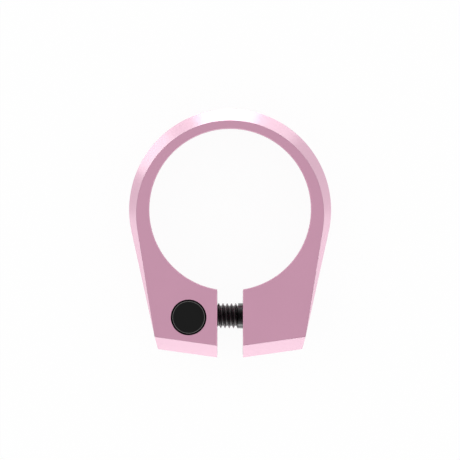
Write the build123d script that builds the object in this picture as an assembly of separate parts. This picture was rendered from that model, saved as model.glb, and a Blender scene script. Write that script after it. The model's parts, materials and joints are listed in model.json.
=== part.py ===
from build123d import *
from math import acos, atan2, cos, hypot, pi, radians, sin, tan
import os

os.makedirs("parts", exist_ok=True)

# Seatpost clamp: a slotted collar that a bolt and a barrel nut draw tight round the seat tube.
# Millimetres, +Z up along the tube. The origin is on the bore axis, on the shoulder that rests on
# the tube's rim. The ears point to -Y, and the bolt runs along X with its head on the +X side.

# Seat tube, bore and lip
TUBE_DIAMETER = 31.8
BORE_CLEARANCE = 0.05  # radial, before the bolt is tightened
LIP_OVERHANG = 0.7  # how far the lip reaches in over the tube's rim
LIP_THICKNESS = 1.5
COLLAR_HEIGHT = 14.0
WALL = 3.15
EDGE_BREAK = 0.12  # small chamfer on machined edges

# Top face and the band of facets that falls away from it
FACE_LAND = 1.55  # width of the top face at the back of the ring
FACE_SHIFT = 0.9  # the face's round is struck from a centre this much nearer the ears
FACET_ANGLE = 45.0  # fall of the facets, measured from the bore axis
END_FACET = 2.35  # width of the facet at an ear's end, seen from above

# Ears
GAP = 4.9
FLANK_ANGLE = 12.6  # how far each flank leans in towards its ear's end
END_ANGLE = 8.0  # how far each ear's end leans, lowest beside the gap
EAR_REACH = 28.0  # bore axis to the ear's end, beside the gap

# Clamp bolt, a socket head screw
THREAD_SIZE = 5.0
THREAD_ALLOWANCE = 0.1  # a cut thread's crest lies this much under its nominal diameter
BOLT_LENGTH = 20.0
BOLT_TIP_CHAMFER = 0.6
HEAD_DIAMETER = 8.5
HEAD_HEIGHT = 5.0
HEAD_ROUND = 0.45
KEY_WIDTH = 4.0  # across the flats of the hex socket
KEY_DEPTH = 2.5
KEY_LEAD_IN_ANGLE = 90.0  # countersink that breaks the socket's mouth
BOLT_SETBACK = 7.7  # ear's end, beside the gap, back to the bolt axis

# Bolt bore through both ears
BOLT_HOLE_CLEARANCE = 0.5  # radial, so that the bolt can lean with the nut
COUNTERBORE_CLEARANCE = 0.5  # radial, round the washer and the bolt's head
SEAT_THICKNESS = 5.4  # metal between the gap and the washer's seat
SEAT_SLACK = 0.15  # the bolt is shown not yet tightened
TIP_ROOM = 0.8  # between the bolt's tip and the end of its bore
DRILL_POINT_ANGLE = 118.0

# Washer
WASHER_DIAMETER = 9.0
WASHER_THICKNESS = 1.0
WASHER_CLEARANCE = 0.2  # radial, round the bolt
WASHER_EDGE = 0.15

# Barrel nut
NUT_DIAMETER = 6.6
NUT_FIT = 0.04  # radial running clearance in the collar
NUT_WEB = 2.03  # metal between the nut's hole and the gap
NUT_RECESS = 0.2  # each end lies this far under the collar's face
NUT_CHAMFER = 0.28
THREAD_FIT = 0.05  # radial, between the bolt and the nut, both drawn without their thread

# Radii and levels that follow
bore_radius = TUBE_DIAMETER / 2 + BORE_CLEARANCE
lip_radius = bore_radius - LIP_OVERHANG
outer_radius = bore_radius + WALL
face_radius = lip_radius + FACE_LAND + FACE_SHIFT
top_z = LIP_THICKNESS
bottom_z = top_z - COLLAR_HEIGHT
bolt_y = BOLT_SETBACK - EAR_REACH
bolt_z = (top_z + bottom_z) / 2
bolt_radius = (THREAD_SIZE - THREAD_ALLOWANCE) / 2
bolt_hole_radius = bolt_radius + BOLT_HOLE_CLEARANCE
counterbore_radius = max(WASHER_DIAMETER, HEAD_DIAMETER) / 2 + COUNTERBORE_CLEARANCE
nut_hole_radius = NUT_DIAMETER / 2 + NUT_FIT

# Places along the bolt, from the washer's seat to the end of the bore
seat_x = GAP / 2 + SEAT_THICKNESS
washer_x = seat_x + SEAT_SLACK
head_x = washer_x + WASHER_THICKNESS
tip_x = head_x - BOLT_LENGTH
hole_end_x = tip_x - TIP_ROOM
nut_x = -(GAP / 2 + NUT_WEB + nut_hole_radius)

# Directions in plan: each straight side is given by its outward normal on the +X side
flank_normal = Vector(cos(radians(FLANK_ANGLE)), -sin(radians(FLANK_ANGLE)))
end_normal = Vector(sin(radians(END_ANGLE)), -cos(radians(END_ANGLE)))
end_distance = end_normal.dot(Vector(GAP / 2, -EAR_REACH))
face_centre = Vector(0, -FACE_SHIFT)


def line_crossing(normal_a, distance_a, normal_b, distance_b):
    """The point whose distances along two normals are those given."""
    det = normal_a.X * normal_b.Y - normal_a.Y * normal_b.X
    x = (distance_a * normal_b.Y - distance_b * normal_a.Y) / det
    y = (normal_a.X * distance_b - normal_b.X * distance_a) / det
    return Vector(x, y)


def face_flank_normal():
    """Normal of the top face's flank, which runs from the face's round to the ear's outer corner.

    The face's end line meets the collar's flank at that corner, so the facet along the flank
    narrows to nothing there."""
    corner = line_crossing(flank_normal, outer_radius, end_normal, end_distance - END_FACET)
    offset = corner - face_centre
    turn = acos(face_radius / hypot(offset.X, offset.Y))
    angle = atan2(offset.Y, offset.X) + turn
    return Vector(cos(angle), sin(angle))


def clamp_outline(centre, radius, side_normal, end):
    """Plan outline: a round, two flanks tangent to it and two ends that meet in front of the gap."""
    tangent = centre + side_normal * radius
    side = side_normal.dot(tangent)
    corner = line_crossing(side_normal, side, end_normal, end)
    nose = Vector(0, end / end_normal.Y)
    back = centre + Vector(0, radius)
    mirror = [Vector(-point.X, point.Y) for point in (tangent, corner)]
    edges = [
        ThreePointArc(tangent, back, mirror[0]),
        Line(mirror[0], mirror[1]),
        Line(mirror[1], nose),
        Line(nose, corner),
        Line(corner, tangent),
    ]
    return make_face(Curve() + edges)


def turned(points, axis):
    """Solid of revolution from the points of a half section, given from the axis outwards."""
    return revolve(make_face(Polyline(*points, close=True)), axis)


def collar_blank():
    """The collar before its holes: a straight-walled blank cut back by facets round the top face."""
    plan = clamp_outline(Vector(0, 0), outer_radius, flank_normal, end_distance)
    blank = extrude(Pos(0, 0, bottom_z) * plan, COLLAR_HEIGHT)
    blank = chamfer(blank.faces().sort_by(Axis.Z)[0].edges(), EDGE_BREAK)
    spread = COLLAR_HEIGHT * tan(radians(FACET_ANGLE))
    face_end = end_distance - END_FACET
    foot = clamp_outline(face_centre, face_radius + spread, face_flank_normal(), face_end + spread)
    facets = extrude(Pos(0, 0, bottom_z) * foot, COLLAR_HEIGHT, taper=FACET_ANGLE)
    return blank & facets


def bore_cut():
    """The bore for the tube, the lip's smaller bore above it, and the chamfers at both rims."""
    section = [
        (0, 0, bottom_z),
        (bore_radius + EDGE_BREAK, 0, bottom_z),
        (bore_radius, 0, bottom_z + EDGE_BREAK),
        (bore_radius, 0, 0),
        (lip_radius, 0, 0),
        (lip_radius, 0, top_z - EDGE_BREAK),
        (lip_radius + EDGE_BREAK, 0, top_z),
        (0, 0, top_z),
    ]
    return turned(section, Axis.Z)


def gap_cut():
    """The slot that parts the ears, with its long edges broken at the top and bottom faces."""
    half = GAP / 2
    quarter = [
        (half + EDGE_BREAK, top_z),
        (half, top_z - EDGE_BREAK),
        (half, bottom_z + EDGE_BREAK),
        (half + EDGE_BREAK, bottom_z),
    ]
    section = quarter + [(-x, z) for x, z in reversed(quarter)]
    face = make_face(Polyline(*[(x, 0, z) for x, z in section], close=True))
    return extrude(face, EAR_REACH + lip_radius, dir=(0, -1, 0))


def bolt_bore_cut():
    """One stepped bore from the +X flank: counterbore, clearance hole and drilled blind end."""
    point_x = hole_end_x - bolt_hole_radius / tan(radians(DRILL_POINT_ANGLE / 2))
    mouth_x = 2 * outer_radius
    section = [
        (mouth_x, 0),
        (mouth_x, counterbore_radius),
        (seat_x, counterbore_radius),
        (seat_x, bolt_hole_radius),
        (hole_end_x, bolt_hole_radius),
        (point_x, 0),
    ]
    return Pos(0, bolt_y, bolt_z) * turned([(x, r, 0) for x, r in section], Axis.X)


def nut_hole_cut():
    """The cross hole for the barrel nut, through the whole ear."""
    return Pos(nut_x, bolt_y, bolt_z) * Cylinder(nut_hole_radius, 2 * COLLAR_HEIGHT)


def make_collar():
    """The slotted ring with its ears, one machined piece."""
    collar = collar_blank()
    for cut in (bore_cut(), gap_cut(), bolt_bore_cut(), nut_hole_cut()):
        collar = collar - cut
    return collar


def make_bolt():
    """Socket head screw: turned outside, with a hex socket cut into its head."""
    head_end = head_x + HEAD_HEIGHT
    section = [
        (tip_x, 0),
        (tip_x, bolt_radius - BOLT_TIP_CHAMFER),
        (tip_x + BOLT_TIP_CHAMFER, bolt_radius),
        (head_x, bolt_radius),
        (head_x, HEAD_DIAMETER / 2 - EDGE_BREAK),
        (head_x + EDGE_BREAK, HEAD_DIAMETER / 2),
        (head_end, HEAD_DIAMETER / 2),
        (head_end, 0),
    ]
    bolt = turned([(x, r, 0) for x, r in section], Axis.X)
    rim = bolt.edges().filter_by(GeomType.CIRCLE).sort_by(Axis.X)[-1]
    bolt = fillet(rim, HEAD_ROUND)
    key_corner = KEY_WIDTH / 2 / cos(pi / 6)
    mouth = Plane(origin=(head_end, 0, 0), x_dir=(0, 1, 0), z_dir=(1, 0, 0))
    bolt -= extrude(mouth * RegularPolygon(key_corner, 6), -KEY_DEPTH)
    lead_in = [
        (head_end, 0),
        (head_end, key_corner),
        (head_end - key_corner / tan(radians(KEY_LEAD_IN_ANGLE / 2)), 0),
    ]
    bolt -= turned([(x, r, 0) for x, r in lead_in], Axis.X)
    socket_floor = [
        (head_end - KEY_DEPTH, 0),
        (head_end - KEY_DEPTH, KEY_WIDTH / 2),
        (head_end - KEY_DEPTH - KEY_WIDTH / 2 / tan(radians(DRILL_POINT_ANGLE / 2)), 0),
    ]
    bolt -= turned([(x, r, 0) for x, r in socket_floor], Axis.X)
    return Pos(0, bolt_y, bolt_z) * bolt


def make_washer():
    """Plain washer between the bolt's head and its seat, with its outer edges broken."""
    washer_radius = WASHER_DIAMETER / 2
    hole_radius = bolt_radius + WASHER_CLEARANCE
    section = [
        (washer_x, hole_radius),
        (washer_x, washer_radius - WASHER_EDGE),
        (washer_x + WASHER_EDGE, washer_radius),
        (head_x - WASHER_EDGE, washer_radius),
        (head_x, washer_radius - WASHER_EDGE),
        (head_x, hole_radius),
    ]
    return Pos(0, bolt_y, bolt_z) * turned([(x, r, 0) for x, r in section], Axis.X)


def make_nut():
    """Barrel nut: a chamfered round bar with the bolt's hole across it."""
    nut = Cylinder(NUT_DIAMETER / 2, COLLAR_HEIGHT - 2 * NUT_RECESS)
    nut = chamfer(nut.edges().filter_by(GeomType.CIRCLE), NUT_CHAMFER)
    hole = Rot(0, 90, 0) * Cylinder(bolt_radius + THREAD_FIT, 2 * NUT_DIAMETER)
    return Pos(nut_x, bolt_y, bolt_z) * (nut - hole)


export_step(make_collar(), "parts/collar.step")
export_step(make_bolt(), "parts/clamp_bolt.step")
export_step(make_washer(), "parts/bolt_washer.step")
export_step(make_nut(), "parts/barrel_nut.step")
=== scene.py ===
"""Looks of a bolt-on seatpost clamp: its finishes, its threaded bolt and a small white studio."""

import json
from functools import partial
from math import ceil, cos, pi, radians, sin, tan

import bpy
import numpy as np
from bpy.props import FloatProperty, FloatVectorProperty, IntProperty, PointerProperty
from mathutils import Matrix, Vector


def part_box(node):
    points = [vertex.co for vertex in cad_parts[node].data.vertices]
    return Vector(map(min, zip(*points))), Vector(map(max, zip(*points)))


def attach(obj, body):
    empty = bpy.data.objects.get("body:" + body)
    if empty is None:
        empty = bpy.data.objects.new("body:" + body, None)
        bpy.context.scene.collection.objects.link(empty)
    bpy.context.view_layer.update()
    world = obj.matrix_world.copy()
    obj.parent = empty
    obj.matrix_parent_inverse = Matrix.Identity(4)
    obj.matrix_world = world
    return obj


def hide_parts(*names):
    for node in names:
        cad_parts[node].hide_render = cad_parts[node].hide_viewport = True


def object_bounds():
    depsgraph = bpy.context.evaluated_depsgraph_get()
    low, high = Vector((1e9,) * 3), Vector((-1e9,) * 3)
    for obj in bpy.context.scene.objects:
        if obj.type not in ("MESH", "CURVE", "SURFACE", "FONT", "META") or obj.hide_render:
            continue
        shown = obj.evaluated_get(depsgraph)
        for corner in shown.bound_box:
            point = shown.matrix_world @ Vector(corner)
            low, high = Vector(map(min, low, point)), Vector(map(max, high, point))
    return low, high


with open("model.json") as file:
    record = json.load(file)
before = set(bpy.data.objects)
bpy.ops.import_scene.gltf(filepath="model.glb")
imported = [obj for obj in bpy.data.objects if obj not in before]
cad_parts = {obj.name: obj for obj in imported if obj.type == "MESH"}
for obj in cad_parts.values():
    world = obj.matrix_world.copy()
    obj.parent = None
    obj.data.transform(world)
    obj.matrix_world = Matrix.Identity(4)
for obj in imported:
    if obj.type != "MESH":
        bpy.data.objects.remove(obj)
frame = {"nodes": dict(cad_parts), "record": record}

bl_info = {
    "name": "Seatpost clamp",
    "version": (1, 0, 0),
    "blender": (4, 5, 0),
    "location": "View3D > Sidebar > Clamp",
    "description": "Dresses a bolt-on seatpost clamp with its finishes, its threaded bolt and a studio",
    "category": "Object",
}

MM = 0.001

# Boxes of the solids, which the sizes and places below come from
cad_low, cad_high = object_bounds()
bolt_low, bolt_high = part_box("clamp_bolt")
nut_low, nut_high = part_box("barrel_nut")
head_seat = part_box("bolt_washer")[1].x
bolt_centre = (bolt_low + bolt_high) / 2
bolt_span = bolt_high.x - bolt_low.x
nut_centre = (nut_low + nut_high) / 2
head_radius = (bolt_high.y - bolt_low.y) / 2
nut_radius = (nut_high.x - nut_low.x) / 2
mounts = {mount["name"]: mount for mount in frame["record"]["mounts"]}
bore_radius = mounts["seat_tube_bore"]["dims"]["r_mm"] * MM


# Sizes and colours that a user may change


class CollarSizes(bpy.types.PropertyGroup):
    """Outline of the collar's top face, from which the facets fall away at 45 degrees."""

    face_round: FloatProperty(
        name="Face round", description="Radius of the top face's outline round the back of the ring",
        default=17.7 * MM, unit="LENGTH", precision=5)
    face_shift: FloatProperty(
        name="Face shift", description="How much nearer the ears than the bore that round is struck",
        default=0.9 * MM, unit="LENGTH", precision=5)
    flank_lean: FloatProperty(
        name="Flank lean", description="How far each flank of the face leans in towards its ear's end",
        default=radians(9.15), subtype="ANGLE")
    end_lean: FloatProperty(
        name="End lean", description="How far each end of the face leans, lowest beside the gap",
        default=radians(8), subtype="ANGLE")
    face_end: FloatProperty(
        name="Face end", description="Bore axis to the end of the face, square to that end",
        default=25.72 * MM, unit="LENGTH", precision=5)


class BoltSizes(bpy.types.PropertyGroup):
    """Sizes of the clamp bolt, with the thread and knurl that its solid leaves plain."""

    crest: FloatProperty(
        name="Crest radius", description="Radius of the thread's crest and of the plain shank",
        default=2.45 * MM, unit="LENGTH", precision=5)
    pitch: FloatProperty(
        name="Pitch", description="Advance of the thread in one turn",
        default=0.8 * MM, unit="LENGTH", precision=5)
    depth: FloatProperty(
        name="Thread depth", description="Crest to root of the thread",
        default=0.49 * MM, unit="LENGTH", precision=5)
    first_crest: FloatProperty(
        name="First crest", description="Tip to the first crest on the side away from the ears' ends",
        default=0.055 * MM, unit="LENGTH", precision=5)
    threaded: FloatProperty(
        name="Threaded length", description="Tip to the shoulder where the thread stops",
        default=12.54 * MM, unit="LENGTH", precision=5)
    length: FloatProperty(
        name="Length", description="Tip to the underside of the head",
        default=20 * MM, unit="LENGTH", precision=5)
    tip_chamfer: FloatProperty(
        name="Tip chamfer", description="Chamfer of the tip, the same both ways",
        default=0.6 * MM, unit="LENGTH", precision=5)
    neck_round: FloatProperty(
        name="Neck round", description="Radius where the shank runs into the head",
        default=0.2 * MM, unit="LENGTH", precision=5)
    head_break: FloatProperty(
        name="Head edge", description="Small chamfer on the underside of the head",
        default=0.12 * MM, unit="LENGTH", precision=5)
    head_round: FloatProperty(
        name="Head round", description="Radius round the top of the head",
        default=0.45 * MM, unit="LENGTH", precision=5)
    key_width: FloatProperty(
        name="Key width", description="Hex socket across its flats",
        default=4 * MM, unit="LENGTH", precision=5)
    key_depth: FloatProperty(
        name="Key depth", description="Depth of the hex socket's flats",
        default=2.5 * MM, unit="LENGTH", precision=5)
    ridges: IntProperty(
        name="Knurl ridges", description="Ridges round the head", default=40, min=8, max=80)
    knurl_depth: FloatProperty(
        name="Knurl depth", description="Depth of the grooves round the head",
        default=0.13 * MM, unit="LENGTH", precision=5)


class ClampFinishes(bpy.types.PropertyGroup):
    """Colours and surface of the collar and of the black steel pieces."""

    collar: FloatVectorProperty(
        name="Collar", description="Colour of the anodised collar",
        default=(0.734, 0.354, 0.514), subtype="COLOR", min=0, max=1)
    # Paler colour painted on the facets as a reflection of the bright lamps they mirror, not a colour of
    # their own.
    facet_painted_reflection: FloatVectorProperty(
        name="Facets", description="Colour of the collar's facets, which are cut after blasting",
        default=(0.722, 0.392, 0.532), subtype="COLOR", min=0, max=1)
    collar_roughness: FloatProperty(
        name="Collar roughness", description="Roughness under the clear oxide layer",
        default=0.42, subtype="FACTOR", min=0, max=1)
    collar_grain: FloatProperty(
        name="Collar grain", description="Size of the blasted grain",
        default=0.12 * MM, unit="LENGTH", precision=5)
    turning_pitch: FloatProperty(
        name="Turning marks", description="Spacing of the turning marks in the bore and on the nut",
        default=0.14 * MM, unit="LENGTH", precision=5)
    black: FloatVectorProperty(
        name="Black steel", description="Colour of the blackened steel",
        default=(0.12, 0.118, 0.12), subtype="COLOR", min=0, max=1)
    worn: FloatVectorProperty(
        name="Worn steel", description="Colour where an edge has rubbed bright",
        default=(0.2, 0.19, 0.19), subtype="COLOR", min=0, max=1)
    black_roughness: FloatProperty(
        name="Black roughness", description="Roughness of the blackened steel",
        default=0.2, subtype="FACTOR", min=0, max=1)
    nut: FloatVectorProperty(
        name="Nut", description="Colour of the nut's matt black layer",
        default=(0.0125, 0.0125, 0.0125), subtype="COLOR", min=0, max=1)
    nut_roughness: FloatProperty(
        name="Nut roughness", description="Roughness of the nut's matt black layer",
        default=0.5, subtype="FACTOR", min=0, max=1)


class ClampStage(bpy.types.PropertyGroup):
    """Camera, floor and lamps of the studio."""

    eye_height: FloatProperty(
        name="Eye height", description="Camera above the collar's top face",
        default=361 * MM, unit="LENGTH")
    eye_x: FloatProperty(
        name="Eye X", description="Camera off the bore's axis, towards the bolt's head",
        default=-0.02 * MM, unit="LENGTH", precision=5)
    eye_y: FloatProperty(
        name="Eye Y", description="Camera off the bore's axis, towards the back of the ring",
        default=-3.84 * MM, unit="LENGTH", precision=5)
    lens: FloatProperty(
        name="Lens", description="Focal length in millimetres on a 36 mm wide sensor", default=150)
    sky: FloatProperty(
        name="Sky", description="Level of the even light from all round", default=1.0, min=0)
    overhead: FloatProperty(
        name="Overhead", description="Level at which gloss shows the sky overhead", default=0.012, min=0)
    shadow: FloatProperty(
        name="Shadow", description="Share of the floor's look that takes the object's shadow",
        default=0.05, subtype="FACTOR", min=0, max=1)
    lamp_distance: FloatProperty(
        name="Lamp distance", description="Bore axis to each lamp", default=80 * MM, unit="LENGTH")
    lamp_height: FloatProperty(
        name="Lamp height", description="Height of each lamp above the floor",
        default=15 * MM, unit="LENGTH")
    lamps: FloatProperty(
        name="Lamps", description="Level of all the lamps that gloss shows", default=1.0, min=0)


# Surfaces


def arc(centre_along, centre_out, radius, start, end, steps):
    """Points of an arc in the half section: centre plus radius times (sine, cosine) of a running angle,
    which is given in degrees."""
    angle = np.radians(np.linspace(start, end, steps))
    return np.stack([centre_along + radius * np.sin(angle), centre_out + radius * np.cos(angle)], axis=1)


def hexagon(angle, apothem):
    """Distance from the centre of a hexagon to its side: the apothem over the cosine of the angle that
    is left to the middle of the nearest side."""
    sixth = pi / 3
    return apothem / np.cos((angle + sixth / 2) % sixth - sixth / 2)


def thread_rows(sizes, angle, rows_per_pitch):
    """Rows of the thread as (along, out, proud), from the tip to the shoulder where the thread stops.

    Each row is a helix: its place along the bolt grows by one pitch in a turn, held between the tip and
    the shoulder. The groove's height follows the distance to the nearest crest, counted in pitches: full
    on the crest's narrow flat, none on the root, and between them a flank that a power makes a little
    hollow towards the root. A cone at the tip bounds it. Proud is a high power of the height less the
    same power of the depth: 1 on a crest, -1 in a root and near 0 on a flank."""
    crest_edge, root_edge = 1 / 12, 3 / 8
    hollow = 1.25
    narrow = 6
    spare_pitches, spare_rows = 2, 2
    turns = angle / (2 * pi)
    lead = sizes.first_crest / sizes.pitch
    pitches = sizes.threaded / sizes.pitch - lead + spare_pitches
    count = ceil(rows_per_pitch * pitches) + spare_rows
    row = ((np.arange(count) + 0.5) / rows_per_pitch - spare_pitches)[:, None]
    along = np.clip((row + lead + turns) * sizes.pitch, 0, sizes.threaded)
    phase = along / sizes.pitch - turns - lead
    from_crest = np.abs(phase - np.round(phase))
    height = np.clip((root_edge - from_crest) / (root_edge - crest_edge), 0, 1) ** hollow
    groove = sizes.crest - sizes.depth * (1 - height)
    tip = sizes.crest - sizes.tip_chamfer + along
    out = np.minimum(tip, groove)
    proud = np.where(along > sizes.tip_chamfer, height ** narrow - (1 - height) ** narrow, 0)
    return along, out, proud


def head_rows(sizes, angle):
    """Rows of the plain shank, the head and the key's socket as (along, out, proud).

    The half section is turned about the axis. The head's side is then cut in by grooves, whose depth is
    the knurl's depth times a raised cosine of the angle. In the socket the distance out is the larger of
    the hexagon and a 45 degree countersink. Proud is a power of what the grooves leave of the side."""
    apothem = sizes.key_width / 2
    corner = apothem / cos(pi / 6)
    knurl_start = sizes.length + 2 * sizes.head_break
    knurl_end = bolt_span - 1.5 * sizes.head_round
    fade = 0.2 * MM
    hair = 0.001 * MM
    ridge_proud, narrow = 0.5, 3
    neck_start = sizes.length - sizes.neck_round
    shank = np.linspace(
        [sizes.threaded, sizes.crest], [neck_start, sizes.crest], num=4, endpoint=False)
    neck = arc(
        neck_start, sizes.crest + sizes.neck_round, sizes.neck_round, start=180, end=90, steps=6)
    under = np.array([[sizes.length, head_radius - sizes.head_break]])
    side = np.array([
        [sizes.length + sizes.head_break, head_radius],
        [knurl_start, head_radius],
        [knurl_start + fade, head_radius],
        [(knurl_start + knurl_end) / 2, head_radius],
        [knurl_end - fade, head_radius],
        [knurl_end, head_radius],
    ])
    rim = arc(
        bolt_span - sizes.head_round, head_radius - sizes.head_round, sizes.head_round,
        start=0, end=90, steps=9)
    face = np.array([[bolt_span, (head_radius + corner) / 2], [bolt_span, corner]])
    turned = np.concatenate([shank, neck, under, side, rim, face])
    along = np.repeat(turned[:, :1], len(angle), axis=1)
    out = np.repeat(turned[:, 1:], len(angle), axis=1)
    in_knurl = np.clip(np.minimum(along - knurl_start, knurl_end - along) / fade, 0, 1)
    in_knurl = in_knurl * (out > head_radius - hair)
    groove = (1 - np.cos(sizes.ridges * angle)) / 2
    out = out - sizes.knurl_depth * in_knurl * groove
    proud = ridge_proud * in_knurl * (1 - groove) ** narrow
    sink = np.linspace(0, corner - apothem, num=8)[1:]
    sink = np.append(sink, [sizes.key_depth / 2, sizes.key_depth])[:, None]
    socket_out = np.maximum(hexagon(angle, apothem), corner - sink)
    socket_along = np.broadcast_to(bolt_span - sink, socket_out.shape)
    floor_out = np.full((1, len(angle)), apothem)
    floor_along = np.full((1, len(angle)), bolt_span - sizes.key_depth)
    along = np.concatenate([along, socket_along, floor_along])
    out = np.concatenate([out, socket_out, floor_out])
    proud = np.concatenate([proud, np.zeros_like(socket_out), np.zeros_like(floor_out)])
    return along, out, proud


def bolt_surface(sizes, columns=240, rows_per_pitch=12):
    """The whole bolt as one closed skin: points, triangles and how proud each point stands.

    A grid of angle by row, from the tip to the socket's floor, with a fan at each end. A point lies at
    (along, out times cosine, out times sine) about the bolt's axis. Where the turn closes, a thread row
    joins the row one pitch further on, and a plain row joins itself."""
    angle = np.arange(columns) * 2 * pi / columns
    helices = thread_rows(sizes, angle, rows_per_pitch)
    rings = head_rows(sizes, angle)
    along, out, proud = [np.concatenate(pair) for pair in zip(helices, rings)]
    thread_count, count = len(helices[0]), len(along)
    points = np.stack([along, out * np.cos(angle), out * np.sin(angle)], axis=-1).reshape(-1, 3)
    drill_point = radians(118)
    apex = bolt_span - sizes.key_depth - sizes.key_width / 2 / tan(drill_point / 2)
    points = np.concatenate([points, [[0, 0, 0], [apex, 0, 0]]])
    proud = np.append(proud.ravel(), [0, 0])

    index = np.arange(count * columns).reshape(count, columns)
    following = np.roll(index, -1, axis=1)
    following[:thread_count - rows_per_pitch, -1] = index[rows_per_pitch:thread_count, 0]
    following[thread_count - rows_per_pitch:thread_count, -1] = index[thread_count - 1, 0]
    here, beside = index[:-1], following[:-1]
    over, across = index[1:], following[1:]
    faces = [np.stack(corners, axis=-1).reshape(-1, 3)
             for corners in ((here, beside, across), (here, across, over))]
    tip_centre, floor_centre = count * columns, count * columns + 1
    tip_ring, floor_ring = index[0], index[-1]
    faces.append(np.stack([np.full(columns, tip_centre), np.roll(tip_ring, -1), tip_ring], axis=-1))
    faces.append(np.stack([np.full(columns, floor_centre), floor_ring, np.roll(floor_ring, -1)], axis=-1))
    return merged(points, np.concatenate(faces), proud)


def merged(points, faces, values, grid=1e-8):
    """Points that coincide on a fine grid become one, and triangles that lose a side are left out."""
    keys = np.round(points / grid).astype(np.int64)
    _, first, place = np.unique(keys, axis=0, return_index=True, return_inverse=True)
    faces = place.ravel()[faces]
    a, b, c = faces.T
    return points[first], faces[(a != b) & (b != c) & (c != a)], values[first]


def skin(name, points, faces, **values):
    """An object from points and triangles, smooth up to a crease, with named values on its points."""
    crease = radians(32)
    mesh = bpy.data.meshes.new(name)
    mesh.from_pydata(points, [], faces)
    mesh.polygons.foreach_set("use_smooth", np.ones(len(mesh.polygons), bool))
    mesh.set_sharp_from_angle(angle=crease)
    for key, value in values.items():
        mesh.attributes.new(key, "FLOAT", "POINT").data.foreach_set("value", value.astype(np.float32))
    made = bpy.data.objects.new(name, mesh)
    bpy.context.scene.collection.objects.link(made)
    return made


# Materials


class Field:
    """A number, colour or vector over a surface: an output socket whose arithmetic adds Math nodes."""

    def __init__(self, tree, socket):
        self.tree = tree
        self.socket = socket

    @classmethod
    def node(cls, tree, kind, settings=None, inputs=None, output=0):
        """Add a node of any kind: its settings first, then a value or a link for each socket."""
        made = tree.nodes.new(kind)
        for key, value in (settings or {}).items():
            setattr(made, key, value)
        for key, value in (inputs or {}).items():
            feed(tree, made.inputs[key], value)
        return cls(tree, made.outputs[output])

    def math(self, operation, first, second=0.0):
        """A Math node on one or two values."""
        return Field.node(self.tree, "ShaderNodeMath", {"operation": operation}, {0: first, 1: second})

    def __add__(self, other):
        return self.math("ADD", self, other)

    def __sub__(self, other):
        return self.math("SUBTRACT", self, other)

    def __rsub__(self, other):
        return self.math("SUBTRACT", other, self)

    def __mul__(self, other):
        return self.math("MULTIPLY", self, other)

    def __pow__(self, other):
        return self.math("POWER", self, other)

    def __rpow__(self, other):
        return self.math("POWER", other, self)

    __radd__ = __add__
    __rmul__ = __mul__

    def size(self):
        """The number without its sign."""
        return self.math("ABSOLUTE", self)

    def sine(self):
        """The sine of the number, in radians."""
        return self.math("SINE", self)

    def root(self):
        """The square root of the number."""
        return self.math("SQRT", self)

    def higher(self, other):
        """The higher of two numbers."""
        return self.math("MAXIMUM", self, other)

    def ramp(self, start, end):
        """0 at start, 1 at end and a straight line between, held beyond them."""
        inputs = {"Value": self, "From Min": start, "From Max": end}
        return Field.node(self.tree, "ShaderNodeMapRange", {"clamp": True}, inputs)


def feed(tree, socket, value):
    """Give a socket a link if the value is a field, or else the value itself."""
    if isinstance(value, Field):
        tree.links.new(value.socket, socket)
    else:
        socket.default_value = value


def new_finish(name, constants):
    """A material with only its principled shader, and the numbers that are the same all over it."""
    material = bpy.data.materials.new(name)
    material.use_nodes = True
    shader = material.node_tree.nodes["Principled BSDF"]
    for key, value in constants.items():
        shader.inputs[key].default_value = value
    return material, material.node_tree, shader


def object_place(tree):
    """The place on the object, in its own coordinates, as a vector and as three numbers."""
    place = Field.node(tree, "ShaderNodeTexCoord", output="Object")
    split = Field.node(tree, "ShaderNodeSeparateXYZ", None, {0: place}).socket.node
    return place, [Field(tree, axis) for axis in split.outputs]


def noise(tree, place, grain, detail=2.0):
    """Even noise from 0 to 1 with lumps of the given size."""
    inputs = {"Vector": place, "Scale": 1 / grain, "Detail": detail}
    return Field.node(tree, "ShaderNodeTexNoise", {"noise_dimensions": "3D"}, inputs, "Fac")


def mix_colour(tree, share, first, second):
    """The first colour where the share is 0, the second where it is 1.

    With numbers alone it is worked out here. A Mix node has sockets for each type of data, so those for
    colours are named by their places."""
    if not any(isinstance(value, Field) for value in (share, first, second)):
        return tuple(start + (end - start) * share for start, end in zip(first, second))
    factor, from_colour, to_colour, mixed = 0, 6, 7, 2
    ends = [colour if isinstance(colour, Field) else (*colour, 1) for colour in (first, second)]
    inputs = {factor: share, from_colour: ends[0], to_colour: ends[1]}
    return Field.node(tree, "ShaderNodeMix", {"data_type": "RGBA"}, inputs, mixed)


def bump(tree, height, distance):
    """A normal from a height field, whose full height is the distance."""
    return Field.node(tree, "ShaderNodeBump", None, {"Distance": distance, "Height": height}, "Normal")


def waves(place, pitch):
    """Rounded ridges from 0 to 1, one for each pitch along a place."""
    return (place * (2 * pi / pitch)).sine() * 0.5 + 0.5


def distance_from(x, y, centre):
    """How far a place lies from the upright axis through a centre."""
    away_x = x - centre.x
    away_y = y - centre.y
    return (away_x * away_x + away_y * away_y).root()


def reach_past_face(x, y, sizes):
    """How far a place lies outside the outline of the collar's top face, seen from above.

    Each half of the outline is a round, a flank tangent to it and an end. Beside the flank only the
    distance across it counts, and behind it the distance from the round's centre."""
    side = x.size()
    back = y + sizes.face_shift
    across = side * cos(sizes.flank_lean) - back * sin(sizes.flank_lean)
    behind = (side * sin(sizes.flank_lean) + back * cos(sizes.flank_lean)).higher(0)
    past_side = (across * across + behind * behind).root() - sizes.face_round
    past_end = side * sin(sizes.end_lean) - y * cos(sizes.end_lean) - sizes.face_end
    return past_side.higher(past_end)


def shaded(colour, factor):
    """A colour made darker or lighter by a factor."""
    return tuple(min(1.0, channel * factor) for channel in colour)


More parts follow.
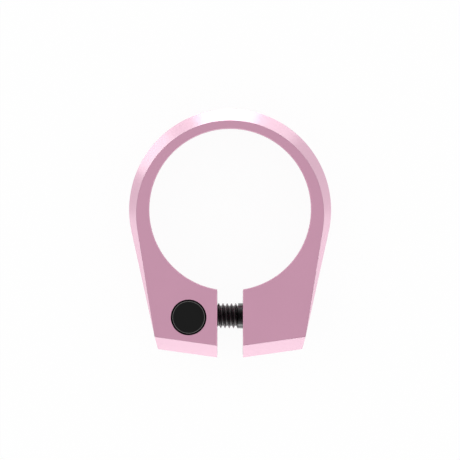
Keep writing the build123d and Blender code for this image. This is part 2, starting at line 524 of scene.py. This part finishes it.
def anodised_finish(finishes, sizes):
    """Satin anodised metal: a fine blasted grain under a clear oxide layer, and turning marks in the
    bore. The facets, which lie as far outside the top face as under it, show more metal, and their
    paler colour is a painted reflection of the bright lamps and floor that they mirror.
    A hairline of painted shadow rings the nut's hole, standing for the shaded gap round the nut."""
    cloud_size = 9 * MM
    tint_swing, gloss_swing = 0.03, 0.1
    face_metal, facet_metal = 0.1, 0.4
    facet_slack, facet_blend = 0.04 * MM, 0.04 * MM
    gap_shadow_reach, gap_shadow_blend = 0.08 * MM, 0.02 * MM
    # Colour of the painted shadow round the nut's hole.
    gap_shadow_colour = shaded(finishes.nut, factor=0.3)
    relief_height = 0.0008 * MM
    margin = 0.25 * MM
    constants = {"Coat Roughness": 0.27, "Coat IOR": 2.1}
    material, tree, shader = new_finish("anodised_satin", constants)
    place, (x, y, z) = object_place(tree)
    grain = noise(tree, place, finishes.collar_grain, detail=3)
    cloud = noise(tree, place, cloud_size)
    radial = (x * x + y * y).root()
    in_bore = 1 - radial.ramp(bore_radius + margin / 2, bore_radius + margin)
    in_bore = in_bore * (1 - z.ramp(cad_high.z - margin, cad_high.z - margin / 2))
    in_bore = in_bore * z.ramp(cad_low.z + margin / 2, cad_low.z + margin)
    height = grain * (1 - in_bore) + waves(z, finishes.turning_pitch) * in_bore
    off_facet = (reach_past_face(x, y, sizes) - (cad_high.z - z)).size()
    on_facet = 1 - off_facet.ramp(facet_slack, facet_slack + facet_blend)
    gap_shadow_edge = nut_radius + gap_shadow_reach
    # Painted shadow: a hairline ring round the nut's hole, dark and without coat, standing for the shaded
    # gap round the nut.
    painted_gap_shadow = 1 - distance_from(x, y, nut_centre).ramp(gap_shadow_edge - gap_shadow_blend, gap_shadow_edge)
    # The facets get their painted reflection here: a paler colour mixed in over the collar's own.
    tints = [
        mix_colour(tree, on_facet, shaded(finishes.collar, factor), shaded(finishes.facet_painted_reflection, factor))
        for factor in (1 - tint_swing, 1 + tint_swing)
    ]
    tint = mix_colour(tree, cloud, *tints)
    feed(tree, shader.inputs["Base Color"], mix_colour(tree, painted_gap_shadow, tint, gap_shadow_colour))
    feed(tree, shader.inputs["Coat Weight"], 1 - painted_gap_shadow)
    feed(tree, shader.inputs["Metallic"], on_facet * (facet_metal - face_metal) + face_metal)
    feed(tree, shader.inputs["Roughness"], (grain - 0.5) * gloss_swing + finishes.collar_roughness)
    feed(tree, shader.inputs["Normal"], bump(tree, height, relief_height))
    return material


def black_finish(name, colour, worn, roughness, find_wear, constants):
    """Black surface with an uneven sheen.

    find_wear gives four values or fields: where the black has rubbed to brighter metal, which on the
    nut's rim is also a painted highlight, where it is at its darkest, which on the nut's chamfers is a
    painted shade, where a dry haze dulls it, and a relief."""
    fine_size, cloud_size = 0.08 * MM, 2.5 * MM
    darkest = 0.3
    fine_swing, cloud_swing, haze_rise = 0.08, 0.12, 0.38
    fine_relief = 0.3
    relief_height = 0.001 * MM
    material, tree, shader = new_finish(name, constants)
    place, axes = object_place(tree)
    wear, dark, haze, relief = find_wear(tree, place, axes)
    fine = noise(tree, place, fine_size, detail=3)
    cloud = noise(tree, place, cloud_size)
    # On the nut the darkest places are a painted shade on the chamfers; on the bolt they are patches of
    # deeper blackening.
    black = mix_colour(tree, dark, colour, shaded(colour, darkest))
    rubbed = wear * fine.ramp(start=0.2, end=0.6)
    feed(tree, shader.inputs["Base Color"], mix_colour(tree, rubbed, black, worn))
    uneven = (cloud - 0.5) * cloud_swing + (fine - 0.5) * fine_swing
    feed(tree, shader.inputs["Roughness"], uneven + (haze * haze_rise + roughness))
    feed(tree, shader.inputs["Normal"], bump(tree, relief + fine * fine_relief, relief_height))
    return material


def black_steel(name, finishes, find_wear):
    """Blackened steel, oiled so that a clear film lies over it."""
    constants = {"Metallic": 1.0, "Coat Weight": 1.0, "Coat Roughness": 0.18}
    return black_finish(
        name, finishes.black, finishes.worn, finishes.black_roughness, find_wear, constants)


def bolt_wear(tree, place, axes):
    """Rubbed where the skin stands proud, on thread crests and knurl ridges, with a pale dry haze in the
    thread's roots. The rolled shank is dark only in patches, and the forged head nearly all over."""
    patch_size = 1.2 * MM
    head_blend = 0.1 * MM
    head_patches = 0.4
    crest_wear = 0.8
    proud = Field.node(tree, "ShaderNodeAttribute", {"attribute_name": "proud"}, None, "Fac")
    on_head = axes[0].ramp(head_seat - head_blend, head_seat)
    patches = noise(tree, place, patch_size)
    shank_dark = patches.ramp(start=0.3, end=0.9)
    head_dark = 1 - patches * head_patches
    dark = shank_dark * (1 - on_head) + head_dark * on_head
    haze = proud.ramp(0, -1)
    return proud.ramp(0, 1) * crest_wear + haze, dark * (1 - haze), haze, 0.0


def nut_wear(tree, place, axes, turning_pitch):
    """Rubbed bright round the edge of both ends, which keep a lathe's fine rings; that rubbed ring is
    also a painted edge highlight, and a painted shade darkens the chamfers, which lie in the hole wall's
    shade.
    """
    chamfer_width, chamfer_blend = 0.28 * MM, 0.05 * MM
    end_depth, end_blend = 0.06 * MM, 0.04 * MM
    rim_width, rim_fade = 0.03 * MM, 0.1 * MM
    rim_wear_and_highlight = 0.95
    x, y, z = axes
    radial = distance_from(x, y, nut_centre)
    from_middle = (z - nut_centre.z).size()
    half = (nut_high.z - nut_low.z) / 2
    on_end = from_middle.ramp(half - end_depth, half - end_depth + end_blend)
    edge = nut_radius - chamfer_width
    # Painted highlight as well as wear: a bright ring at the inner edge of the chamfer.
    rim = 1 - (radial - edge).size().ramp(rim_width, rim_fade)
    # Painted shade: the chamfer is darkened, as it lies in the shade of the hole's wall.
    chamfer = radial.ramp(edge, edge + chamfer_blend)
    return rim * on_end * rim_wear_and_highlight, chamfer, 0.0, waves(radial, turning_pitch) * on_end


def washer_wear(tree, place, axes):
    """Rubbed in patches, with the fine scratches of a stamped and tumbled piece."""
    patch_size, scratch_size = 0.6 * MM, 0.2 * MM
    patch_wear = 0.6
    patches = noise(tree, place, patch_size, detail=3).ramp(start=0.45, end=0.75)
    return patches * patch_wear, 0.0, 0.0, noise(tree, place, scratch_size)


def dress(node, material):
    """Give a solid's object its material in place of the plain one."""
    piece = frame["nodes"][node]
    piece.data.materials.clear()
    piece.data.materials.append(material)


# Lamps and floor


# Lamps round the object: the sector that each covers, in degrees from the bolt's head side, and its
# level, where 1 is as bright as the white floor and adds to what gloss shows behind the lamp
LAMPS = {
    "lamp_right_flank": (-32, 1, 1.15),
    "lamp_right_back": (1, 23, 0.13),
    "lamp_back_right": (49.5, 74.8, 1.5),
    "lamp_back": (74.8, 108.6, 5.0),
    "lamp_back_left": (108.6, 127.5, 0.98),
    "lamp_left_back": (127.5, 154.8, 2.45),
    "lamp_left_flank": (180, 212, 1.2),
    "lamp_front": (246, 294, 1.47),
}


def add_lamp(name, stage, start, end, level):
    """A flat lamp that stands on the floor and faces the object, as a card that only gloss shows.

    Its power is its level times pi times its area."""
    azimuth = radians((start + end) / 2)
    width = 2 * stage.lamp_distance * tan(radians((end - start) / 2))
    light = bpy.data.lights.new(name, "AREA")
    light.shape = "RECTANGLE"
    light.size = width
    light.size_y = stage.lamp_height
    light.energy = stage.lamps * level * pi * width * stage.lamp_height
    lamp = bpy.data.objects.new(name, light)
    lamp.location = (
        stage.lamp_distance * cos(azimuth),
        stage.lamp_distance * sin(azimuth),
        cad_low.z + stage.lamp_height / 2,
    )
    lamp.rotation_euler = (pi / 2, 0, azimuth + pi / 2)
    lamp.visible_camera = False
    lamp.visible_diffuse = False
    bpy.context.scene.collection.objects.link(lamp)


def ray_kinds(tree, *kinds):
    """1 for rays of the named kinds and 0 for all others."""
    rays = [Field.node(tree, "ShaderNodeLightPath", output=f"Is {kind} Ray") for kind in kinds]
    return sum(rays[1:], rays[0])


def floor_finish(stage):
    """White that is seen as plain white, with a share that takes light and the object's shadow."""
    paint = (0.9, 0.9, 0.9, 1)
    material = bpy.data.materials.new("white_floor")
    material.use_nodes = True
    tree = material.node_tree
    tree.nodes.clear()
    matt = Field.node(tree, "ShaderNodeBsdfDiffuse", None, {"Color": paint})
    white = Field.node(tree, "ShaderNodeEmission", None, {"Color": (1, 1, 1, 1), "Strength": 1.0})
    share = ray_kinds(tree, "Camera", "Glossy", "Transmission") * (1 - stage.shadow)
    look = Field.node(tree, "ShaderNodeMixShader", None, {0: share, 1: matt, 2: white})
    output = tree.nodes.new("ShaderNodeOutputMaterial")
    feed(tree, output.inputs["Surface"], look)
    return material


# Operators, one for each piece and one for the stage


class CLAMP_OT_collar(bpy.types.Operator):
    """Give the collar its satin anodised finish"""

    bl_idname = "clamp.collar"
    bl_label = "Finish collar"

    def execute(self, context):
        scene = context.scene
        dress("collar", anodised_finish(scene.clamp_finishes, scene.clamp_collar))
        return {"FINISHED"}


class CLAMP_OT_bolt(bpy.types.Operator):
    """Build the bolt with its thread, knurl and key socket in place of the plain solid"""

    bl_idname = "clamp.bolt"
    bl_label = "Build bolt"

    def execute(self, context):
        points, faces, proud = bolt_surface(context.scene.clamp_bolt)
        points = points + np.array([bolt_low.x, bolt_centre.y, bolt_centre.z])
        bolt = skin("threaded_bolt", points, faces, proud=proud)
        steel = black_steel("black_bolt_steel", context.scene.clamp_finishes, bolt_wear)
        bolt.data.materials.append(steel)
        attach(bolt, "bolt")
        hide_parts("clamp_bolt")
        return {"FINISHED"}


class CLAMP_OT_washer(bpy.types.Operator):
    """Give the washer under the bolt's head its blackened finish"""

    bl_idname = "clamp.washer"
    bl_label = "Finish washer"

    def execute(self, context):
        steel = black_steel("black_washer_steel", context.scene.clamp_finishes, washer_wear)
        dress("bolt_washer", steel)
        return {"FINISHED"}


class CLAMP_OT_nut(bpy.types.Operator):
    """Give the barrel nut its blackened finish with faced ends"""

    bl_idname = "clamp.nut"
    bl_label = "Finish nut"

    def execute(self, context):
        finishes = context.scene.clamp_finishes
        find_wear = partial(nut_wear, turning_pitch=finishes.turning_pitch)
        steel = black_finish(
            "black_nut_steel", finishes.nut, finishes.worn, finishes.nut_roughness, find_wear,
            {"Specular IOR Level": 0.05})
        dress("barrel_nut", steel)
        return {"FINISHED"}


class CLAMP_OT_stage(bpy.types.Operator):
    """Set up the camera over the clamp, the white floor, the sky and the lamps"""

    bl_idname = "clamp.stage"
    bl_label = "Set stage"

    def execute(self, context):
        stage = context.scene.clamp_stage
        context.scene.view_settings.view_transform = "Standard"
        self.place_camera(context.scene, stage)
        self.lay_floor(stage)
        self.light_sky(context.scene, stage)
        for name, settings in LAMPS.items():
            add_lamp(name, stage, *settings)
        return {"FINISHED"}

    def place_camera(self, scene, stage):
        """A long lens straight above the clamp, with the back of the ring at the top of the picture."""
        lens = bpy.data.cameras.new("camera")
        lens.lens = stage.lens
        lens.sensor_width = 36
        lens.clip_start = 0.01
        lens.clip_end = 20
        camera = bpy.data.objects.new("camera", lens)
        camera.location = (stage.eye_x, stage.eye_y, cad_high.z + stage.eye_height)
        scene.collection.objects.link(camera)
        scene.camera = camera

    def lay_floor(self, stage):
        """A wide flat floor just under the clamp, so that the two never share a plane."""
        reach = 4.0
        drop = 0.02 * MM
        corners = np.array([[-1, -1, 0], [1, -1, 0], [1, 1, 0], [-1, 1, 0]]) * reach
        corners[:, 2] = cad_low.z - drop
        floor = skin("floor", corners, np.array([[0, 1, 2], [0, 2, 3]]))
        floor.data.materials.append(floor_finish(stage))

    def light_sky(self, scene, stage):
        """Even light from all round, seen as plain white; gloss shows it white at the horizon, and darker
        overhead by a power of one less the ray's rise."""
        darkening = 1.7
        world = bpy.data.worlds.new("sky")
        world.use_nodes = True
        tree = world.node_tree
        direction = Field.node(tree, "ShaderNodeTexCoord", output="Generated")
        rise = Field.node(tree, "ShaderNodeSeparateXYZ", None, {0: direction}, "Z").ramp(0, 1)
        mirrored = (1 - rise) ** darkening * (1 - stage.overhead) + stage.overhead
        straight = ray_kinds(tree, "Camera", "Transmission")
        gloss = ray_kinds(tree, "Glossy")
        strength = straight * (1 - stage.sky) + gloss * (mirrored - stage.sky) + stage.sky
        feed(tree, tree.nodes["Background"].inputs["Strength"], strength)
        tree.nodes["Background"].inputs["Color"].default_value = (1, 1, 1, 1)
        scene.world = world


class CLAMP_PT_sidebar(bpy.types.Panel):
    """Lists the clamp's sizes, finishes and steps"""

    bl_idname = "CLAMP_PT_sidebar"
    bl_label = "Seatpost clamp"
    bl_space_type = "VIEW_3D"
    bl_region_type = "UI"
    bl_category = "Clamp"

    def draw(self, context):
        for group, steps in PANEL.items():
            settings = getattr(context.scene, group)
            box = self.layout.box()
            for key in settings.__annotations__:
                box.prop(settings, key)
            for step in steps:
                box.operator(step.bl_idname)


GROUPS = {
    "clamp_collar": CollarSizes,
    "clamp_bolt": BoltSizes,
    "clamp_finishes": ClampFinishes,
    "clamp_stage": ClampStage,
}
PANEL = {
    "clamp_collar": (CLAMP_OT_collar,),
    "clamp_bolt": (CLAMP_OT_bolt,),
    "clamp_finishes": (CLAMP_OT_washer, CLAMP_OT_nut),
    "clamp_stage": (CLAMP_OT_stage,),
}
STEPS = (CLAMP_OT_collar, CLAMP_OT_bolt, CLAMP_OT_washer, CLAMP_OT_nut, CLAMP_OT_stage)


def register():
    """Register the classes and hang the settings on the scene."""
    for cls in (*GROUPS.values(), *STEPS, CLAMP_PT_sidebar):
        bpy.utils.register_class(cls)
    for name, group in GROUPS.items():
        setattr(bpy.types.Scene, name, PointerProperty(type=group))


def unregister():
    """Undo register."""
    for name in GROUPS:
        delattr(bpy.types.Scene, name)
    for cls in (CLAMP_PT_sidebar, *STEPS, *GROUPS.values()):
        bpy.utils.unregister_class(cls)


def main():
    """Build every piece and the stage."""
    register()
    bpy.ops.clamp.collar()
    bpy.ops.clamp.bolt()
    bpy.ops.clamp.washer()
    bpy.ops.clamp.nut()
    bpy.ops.clamp.stage()


if __name__ == "__main__":
    main()
